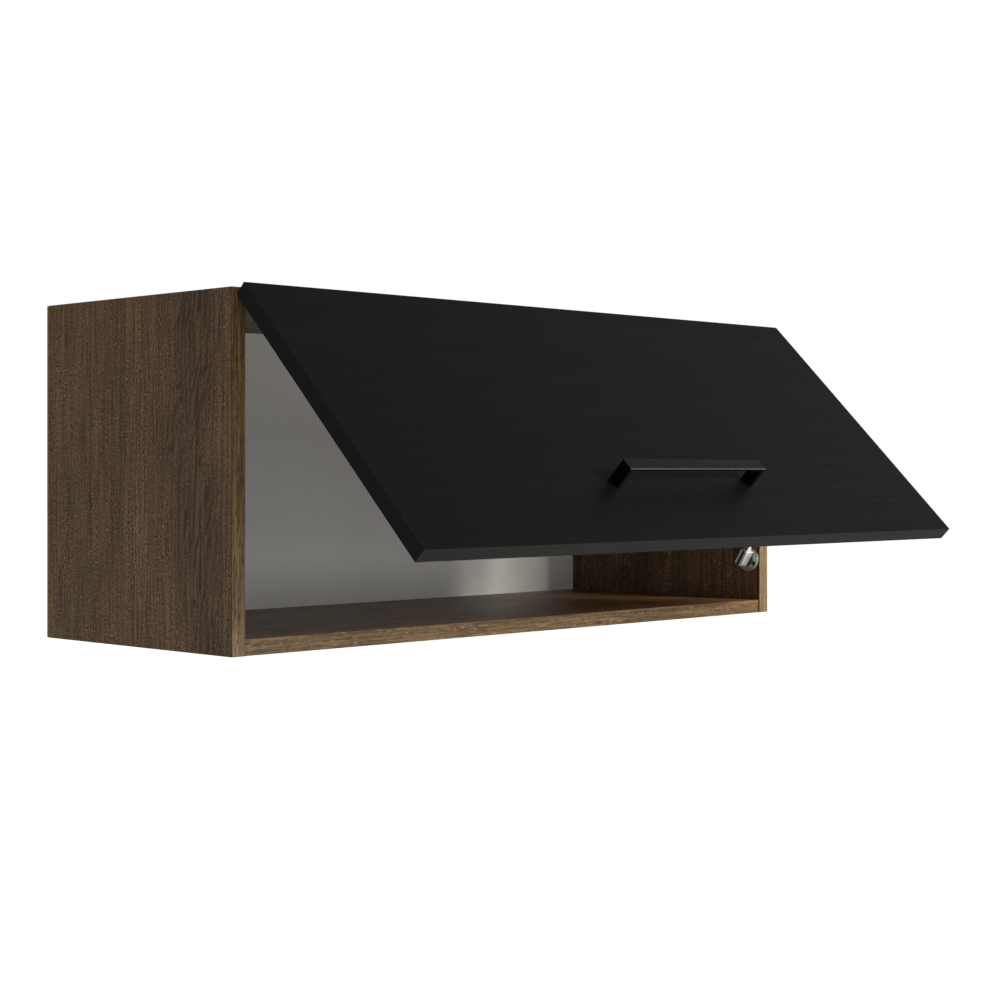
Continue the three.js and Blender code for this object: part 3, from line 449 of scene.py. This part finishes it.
def other_materials():
    return {
        "back": back_board(),
        "black": black_print(
            "black_board", (0.0013, 0.0013, 0.0017), (0.0022, 0.0022, 0.0027), gloss=0.46, seed=3.0
        ),
        "black_edge": black_print(
            "black_edge", (0.0034, 0.0034, 0.0034), (0.0050, 0.0050, 0.0050), gloss=0.5, seed=8.0,
            aside=(0.0082, 0.0082, 0.0084),
        ),
        "black_metal": powder_coat(
            "black_metal", (0.0004, 0.0014, 0.0011), (0.0008, 0.0020, 0.0016), rough=0.34,
            painted_edge_highlight=(0.12, 0.12, 0.115),
        ),
        "strut_black": powder_coat(
            "strut_black", (0.014, 0.014, 0.016), (0.02, 0.02, 0.022), rough=0.3
        ),
        "steel": plated("steel", (0.60, 0.60, 0.59), (0.67, 0.665, 0.65), rough=0.30, mottle=0.03),
        "rod": plated(
            "polished_rod", (0.66, 0.66, 0.66), (0.75, 0.75, 0.75), rough=0.12, mottle=0.03,
            stretch=(1, 0.2, 0.2),
        ),
        "zinc": plated(
            "zinc", (0.64, 0.64, 0.63), (0.74, 0.74, 0.725), rough=0.40, mottle=0.04, metal=0.8
        ),
        "socket_lower": socket_metal("socket_lower"),
        "flange": cast_flange("flange"),
        "screw": plated("screw", (0.50, 0.50, 0.49), (0.66, 0.65, 0.63), rough=0.28, mottle=0.06),
        # Painted shade: near-black screw metal that stands in for shaded recesses.
        "dark": plated("dark_screw_painted_shade", (0.05, 0.05, 0.05), (0.09, 0.09, 0.09), rough=0.45, mottle=0.05),
        "beech": plain_beech(),
        "bump_stop": soft_plastic(
            "bump_stop", (0.66, 0.66, 0.65), (0.76, 0.76, 0.75), rough=0.32, through=0.35
        ),
        "seal": soft_plastic("seal", (0.012, 0.012, 0.012), (0.02, 0.02, 0.02), rough=0.55),
    }


MATERIALS = {**wood_materials(), **other_materials()}


# ---- Finishes of the CAD pieces ---------------------------------------------------------------

def angle_smoothing():
    """Smooth shading that keeps edges over 30 degrees sharp."""
    tree = bpy.data.node_groups.new("smooth_by_angle", "GeometryNodeTree")
    tree.interface.new_socket("Geometry", in_out="INPUT", socket_type="NodeSocketGeometry")
    tree.interface.new_socket("Geometry", in_out="OUTPUT", socket_type="NodeSocketGeometry")
    start = tree.nodes.new("NodeGroupInput")
    end = tree.nodes.new("NodeGroupOutput")
    bend = tree.nodes.new("GeometryNodeInputMeshEdgeAngle")
    soft = tree.nodes.new("FunctionNodeCompare")
    soft.operation = "LESS_THAN"
    soft.inputs[1].default_value = math.radians(30)
    faces = tree.nodes.new("GeometryNodeSetShadeSmooth")
    faces.domain = "FACE"
    faces.inputs["Shade Smooth"].default_value = True
    edges = tree.nodes.new("GeometryNodeSetShadeSmooth")
    edges.domain = "EDGE"
    tree.links.new(bend.outputs["Unsigned Angle"], soft.inputs[0])
    tree.links.new(start.outputs[0], faces.inputs["Geometry"])
    tree.links.new(faces.outputs[0], edges.inputs["Geometry"])
    tree.links.new(soft.outputs[0], edges.inputs["Shade Smooth"])
    tree.links.new(edges.outputs[0], end.inputs[0])
    return tree


SMOOTHING = angle_smoothing()


def soften(obj, width=0.0, segments=2):
    """Smooth shading, and edges rounded by `width` in metres."""
    if width:
        bevel = obj.modifiers.new("edges", "BEVEL")
        bevel.width = width
        bevel.segments = segments
        bevel.limit_method = "ANGLE"
        bevel.angle_limit = math.radians(40)
        bevel.use_clamp_overlap = True
    smooth = obj.modifiers.new("smooth", "NODES")
    smooth.node_group = SMOOTHING


def dress(node, material, width=0.0, segments=2):
    """Material and rounded edges of one CAD piece."""
    obj = NODES[node]
    obj.data.materials.clear()
    obj.data.materials.append(MATERIALS[material])
    soften(obj, width, segments)


def dress_cad():
    dress("back_panel", "back")
    for word in ("left", "right"):
        dress(f"side_panel_{word}", f"side_{word}", 0.25 * MM)
        dress(f"edge_band_{word}", f"edge_{word}", 0.12 * MM)
        dress(f"wall_hanger_{word}", "steel", 0.4 * MM)
        dress(f"hinge_plate_{word}", "zinc", 0.2 * MM)
        dress(f"hinge_arm_{word}", "steel", 0.2 * MM)
        dress(f"hinge_link_outer_{word}", "steel", 0.15 * MM)
        dress(f"hinge_link_inner_{word}", "steel", 0.15 * MM)
        dress(f"hinge_cup_{word}", "steel", 0.2 * MM)
        dress(f"handle_screw_{word}", "screw", 0.1 * MM)
        dress(f"bump_stop_{word}", "bump_stop", 0.4 * MM, 3)
        for end in "ab":
            dress(f"hinge_screw_{word}_{end}", "screw", 0.1 * MM)
        for level in ("top", "bottom"):
            dress(f"dowel_{level}_{word}", "beech")
            for depth in ("front", "rear"):
                dress(f"cam_{level}_{word}_{depth}", "zinc", 0.1 * MM)
                dress(f"cam_bolt_{level}_{word}_{depth}", "steel")
    for level in ("top", "bottom"):
        dress(f"{level}_panel", level, 0.2 * MM)
        dress(f"edge_band_{level}", f"edge_{level}", 0.12 * MM)
    dress("flap_panel", "black", 0.12 * MM)
    dress("flap_edge_band", "black_edge", 0.3 * MM)
    dress("handle", "black_metal", 0.2 * MM)
    dress("strut_flap_bracket", "zinc", 0.3 * MM)
    dress("strut_flange", "flange", 0.25 * MM)
    dress("strut_rod", "rod", 0.2 * MM)
    dress("strut_stud_lower", "steel", 0.2 * MM)
    dress("strut_tube", "strut_black")
    dress("strut_socket_upper", "zinc", 0.35 * MM)
    dress("strut_socket_lower", "socket_lower", 0.35 * MM)


dress_cad()


# ---- Small pieces that only the looks need ------------------------------------------------------

def lathe(profile, sides=40):
    """A closed solid turned about Z from [radius, height] points in millimetres."""
    made = bmesh.new()
    turns = [2 * math.pi * step / sides for step in range(sides)]
    rings = []
    for radius, height in profile:
        reach, z = radius * MM, height * MM
        if radius == 0:
            rings.append([made.verts.new((0, 0, z))])
            continue
        points = [(reach * math.cos(turn), reach * math.sin(turn), z) for turn in turns]
        rings.append([made.verts.new(point) for point in points])
    for low, high in zip(rings, rings[1:]):
        for i in range(sides):
            j = (i + 1) % sides
            corners = [low[i % len(low)], low[j % len(low)], high[j % len(high)], high[i % len(high)]]
            unique = [v for n, v in enumerate(corners) if v not in corners[:n]]
            if len(unique) > 2:
                made.faces.new(unique)
    bmesh.ops.remove_doubles(made, verts=made.verts, dist=1e-7)
    bmesh.ops.recalc_face_normals(made, faces=made.faces)
    mesh = bpy.data.meshes.new("turned")
    made.to_mesh(mesh)
    made.free()
    return mesh


def cross_recess(mesh, reach, bottom, top):
    """The mesh less a cross recess about Z, from `bottom` up, in millimetres."""
    arm = 0.26 * reach
    overshoot = 1
    foot_taper = 0.6
    body = bpy.data.objects.new("body", mesh)
    bpy.context.scene.collection.objects.link(body)
    tools = []
    for wide, deep in ((reach, arm), (arm, reach)):
        tool = bmesh.new()
        bmesh.ops.create_cube(tool, size=1)
        height = top - bottom + overshoot
        size = Matrix.Diagonal((2 * wide * MM, 2 * deep * MM, height * MM, 1))
        middle = Matrix.Translation((0, 0, (bottom + height / 2) * MM))
        bmesh.ops.transform(tool, matrix=middle @ size, verts=tool.verts)
        for vertex in tool.verts:
            if vertex.co.z < bottom * MM + 1e-6:
                vertex.co.x *= foot_taper
                vertex.co.y *= foot_taper
        shape = bpy.data.meshes.new("tool")
        tool.to_mesh(shape)
        tool.free()
        obj = bpy.data.objects.new("tool", shape)
        bpy.context.scene.collection.objects.link(obj)
        cut = body.modifiers.new("cut", "BOOLEAN")
        cut.operation = "DIFFERENCE"
        cut.solver = "EXACT"
        cut.object = obj
        tools.append(obj)
    evaluated = body.evaluated_get(bpy.context.evaluated_depsgraph_get())
    made = bpy.data.meshes.new_from_object(evaluated)
    for obj in (body, *tools):
        bpy.data.objects.remove(obj)
    return made


def screw_point(shank, length):
    """The start of a screw's profile: its tip and the shank's lower end."""
    tip = 1
    return [(0, -length), (0.4 * shank, -length), (shank, tip - length)]


def pan_head(radius, shank, length):
    """Screw with a domed head over the level z = 0, in millimetres."""
    rise = 0.6 * radius
    dome = [(1, 0.16), (0.93, 0.34), (0.72, 0.50), (0.4, 0.58)]
    mesh = lathe(
        screw_point(shank, length) + [(shank, 0), (radius, 0)]
        + [(across * radius, up * radius) for across, up in dome] + [(0, rise)]
    )
    return cross_recess(mesh, 0.55 * radius, 0.12 * radius, rise)


def countersunk(radius, shank, length):
    """Screw with its flat head's top in the level z = 0, in millimetres."""
    rim, neck = 0.25, 0.2
    under_head = shank - radius - neck
    mesh = lathe(
        screw_point(shank, length) + [(shank, under_head), (radius, -rim), (radius, 0), (0, 0)]
    )
    return cross_recess(mesh, 0.58 * radius, -0.55 * radius, 0)


def turned_to(direction, place):
    """A matrix that takes +Z to `direction` and the origin to `place`, in millimetres."""
    turn = Vector(direction).to_track_quat("Z", "Y").to_matrix().to_4x4()
    return Matrix.Translation(Vector(place) * MM) @ turn


def put_piece(name, mesh, body, material, matrix):
    """A piece with its own copy of the mesh, placed by the matrix, riding on a body."""
    own = mesh.copy()
    own.transform(matrix)
    own.name = name
    own.materials.clear()
    own.materials.append(MATERIALS[material])
    obj = bpy.data.objects.new(name, own)
    bpy.context.scene.collection.objects.link(obj)
    soften(obj)
    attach(obj, body)


def flange_screws():
    """Beside the strut's lower stud, one on each side of it, in the flange's face."""
    face_x = 381.6
    aside_y, aside_z = 9.4, 5.0
    screw = countersunk(radius=2.4, shank=1.6, length=11.5)
    for way, word in ((-1, "lower"), (1, "upper")):
        place = (face_x, STRUT_LOWER.y + way * aside_y, STRUT_LOWER.z + way * aside_z)
        matrix = turned_to((-1, 0, 0), place)
        # The flange screws are near-black as painted shade.
        put_piece(f"flange_screw_{word}", screw, "carcass", "dark", matrix)


def hanger_screws():
    """Three in each wall hanger, in its face on the side panel."""
    face_x = 382.88
    places = ((-16, 141), (-35, 141), (-25.5, 116))
    screw = pan_head(radius=3.3, shank=1.6, length=1.5)
    for side, word in SIDES:
        for number, (y, z) in enumerate(places):
            matrix = turned_to((-side, 0, 0), (side * face_x, y, z))
            put_piece(f"hanger_screw_{word}_{number}", screw, "carcass", "screw", matrix)


def hinge_screws():
    """The fixing and the setting screw in each hinge arm, seen from below."""
    fixing = pan_head(radius=3.6, shank=2.3, length=6)
    setting = countersunk(radius=2.3, shank=1.6, length=5)
    for side, word in SIDES:
        for kind, screw, y, z in (
            ("fixing", fixing, -254.1, 137.45), ("setting", setting, -276.1, 136.2),
        ):
            matrix = turned_to((0, 0, -1), (side * HINGE_X, y, z))
            put_piece(f"hinge_{kind}_screw_{word}", screw, "carcass", "screw", matrix)


def bracket_screws():
    """Four in the plate of the strut's bracket on the flap, placed in the flap's own frame."""
    face_y = 10.42
    places = [(x, z) for x in (339, 354) for z in (-121.4, -135.4)]
    screw = pan_head(radius=3.2, shank=1.6, length=2)
    for number, (x, z) in enumerate(places):
        matrix = FLAP @ turned_to((0, 1, 0), (x, face_y, z))
        put_piece(f"bracket_screw_{number}", screw, "flap", "screw", matrix)


def back_nails():
    """Heads of the nails that hold the back, along the middle of the boards' rear edges. They
    are sunk under the back's rear face, which has no holes for them, so they don't show."""
    side_x, level_z = 392.5, 160
    sunk, foot = 0.02, 0.3
    nail = lathe([(0, -foot), (2.1, -foot), (2.3, -foot / 2), (2.1, -sunk), (0, -sunk)], sides=20)
    places = [(x, z) for x in (-side_x, side_x) for z in (-140, -70, 0, 70, 140)]
    places += [(x, z) for x in (-300, -150, 0, 150, 300) for z in (-level_z, level_z)]
    for number, (x, z) in enumerate(places):
        matrix = turned_to((0, 1, 0), (x, 0, z))
        put_piece(f"back_nail_{number}", nail, "carcass", "steel", matrix)


def strut_seal():
    """The rubber lip round the rod where it leaves the tube."""
    tube_end = 121.1
    lip = lathe([(3.1, 0), (4.9, 0), (4.7, 0.5), (3.6, 0.8), (3.1, 0.8), (3.1, 0)])
    matrix = turned_to(STRUT_DOWN, STRUT_UPPER + STRUT_DOWN * tube_end)
    put_piece("strut_seal", lip, "strut_cylinder", "seal", matrix)


flange_screws()
hanger_screws()
hinge_screws()
bracket_screws()
back_nails()
strut_seal()


# ---- Floor, light and camera -------------------------------------------------------------------

def stage_floor():
    """Pale floor, wide enough to reach the horizon."""
    half, level = 40.0, -1.05
    corners = [(x, y, level) for x, y in ((-half, -half), (half, -half), (half, half), (-half, half))]
    mesh = bpy.data.meshes.new("floor")
    mesh.from_pydata(corners, [], [(0, 1, 2, 3)])
    floor = bpy.data.objects.new("floor", mesh)
    bpy.context.scene.collection.objects.link(floor)
    graph = Graph("pale_floor")
    cloud = graph.ramp(graph.noise((2, 2, 2), detail=2, rough=0.5), 0.3, 0.7)
    colour = graph.mix(cloud, (0.86, 0.86, 0.86), (0.88, 0.88, 0.88))
    glow_as_light, glow_when_seen = 0.20, 0.72
    seen = graph.add("ShaderNodeLightPath").outputs["Is Camera Ray"]
    glow = graph.ramp(seen, 0.0, 1.0, glow_as_light, glow_when_seen)
    graph.finish(Base_Color=colour, Roughness=0.9, Emission_Color=(1, 1, 1), Emission_Strength=glow)
    mesh.materials.append(graph.material)


def studio_world():
    """White to the camera. As light, weaker, and strongest from the upper right."""
    brightest = Vector((0.8, -0.35, 0.5)).normalized()
    weakest, strongest = 0.25, 0.46
    world = bpy.data.worlds.new("studio")
    world.use_nodes = True
    tree = world.node_tree
    tree.nodes.clear()
    out = tree.nodes.new("ShaderNodeOutputWorld")
    seen = tree.nodes.new("ShaderNodeBackground")
    seen.inputs["Color"].default_value = (1, 1, 1, 1)
    seen.inputs["Strength"].default_value = 1.0
    lit = tree.nodes.new("ShaderNodeBackground")
    lit.inputs["Color"].default_value = (1.0, 0.985, 0.965, 1)
    place = tree.nodes.new("ShaderNodeTexCoord")
    towards = tree.nodes.new("ShaderNodeVectorMath")
    towards.operation = "DOT_PRODUCT"
    towards.inputs[1].default_value = brightest
    level = tree.nodes.new("ShaderNodeMapRange")
    level.inputs["From Min"].default_value = -0.6
    level.inputs["From Max"].default_value = 1.0
    level.inputs["To Min"].default_value = weakest
    level.inputs["To Max"].default_value = strongest
    tree.links.new(place.outputs["Generated"], towards.inputs[0])
    tree.links.new(towards.outputs["Value"], level.inputs["Value"])
    tree.links.new(level.outputs["Result"], lit.inputs["Strength"])
    path = tree.nodes.new("ShaderNodeLightPath")
    mix = tree.nodes.new("ShaderNodeMixShader")
    tree.links.new(path.outputs["Is Camera Ray"], mix.inputs["Fac"])
    tree.links.new(lit.outputs[0], mix.inputs[1])
    tree.links.new(seen.outputs[0], mix.inputs[2])
    tree.links.new(mix.outputs[0], out.inputs["Surface"])
    bpy.context.scene.world = world


def aim(obj, place, target):
    """Puts a light or the camera at `place`, in metres, looking at `target`."""
    obj.location = place
    obj.rotation_euler = (Vector(target) - Vector(place)).to_track_quat("-Z", "Y").to_euler()
    bpy.context.scene.collection.objects.link(obj)


def area_light(name, place, target, size, watts, colour=(1, 1, 1)):
    """A lamp with a flat face. size: its width and height, in metres."""
    light = bpy.data.lights.new(name, "AREA")
    light.shape = "RECTANGLE"
    light.size, light.size_y = size
    light.energy = watts
    light.color = colour
    aim(bpy.data.objects.new(name, light), place, target)


def photo_camera():
    """The photograph's camera: level, from the front left."""
    place = Vector((-1.4891, -1.7126, 0.0018))
    forward = Vector((0.7132, 0.7010, 0))
    camera = bpy.data.cameras.new("camera")
    camera.lens = 70.42
    camera.sensor_width = 36
    camera.shift_y = -0.0301
    obj = bpy.data.objects.new("camera", camera)
    aim(obj, place, place + forward)
    bpy.context.scene.camera = obj


def studio():
    bpy.context.scene.view_settings.view_transform = "Standard"
    stage_floor()
    studio_world()
    area_light(
        "key", (1.045, -2.5, 0.62), (0.2, -0.2, -0.1), size=(0.7, 0.45), watts=84,
        colour=(1.0, 0.98, 0.87),
    )
    area_light("front", (-0.5, -3.5, -0.16), (-0.5, 0, -0.16), size=(6.0, 1.15), watts=39)
    photo_camera()


studio()
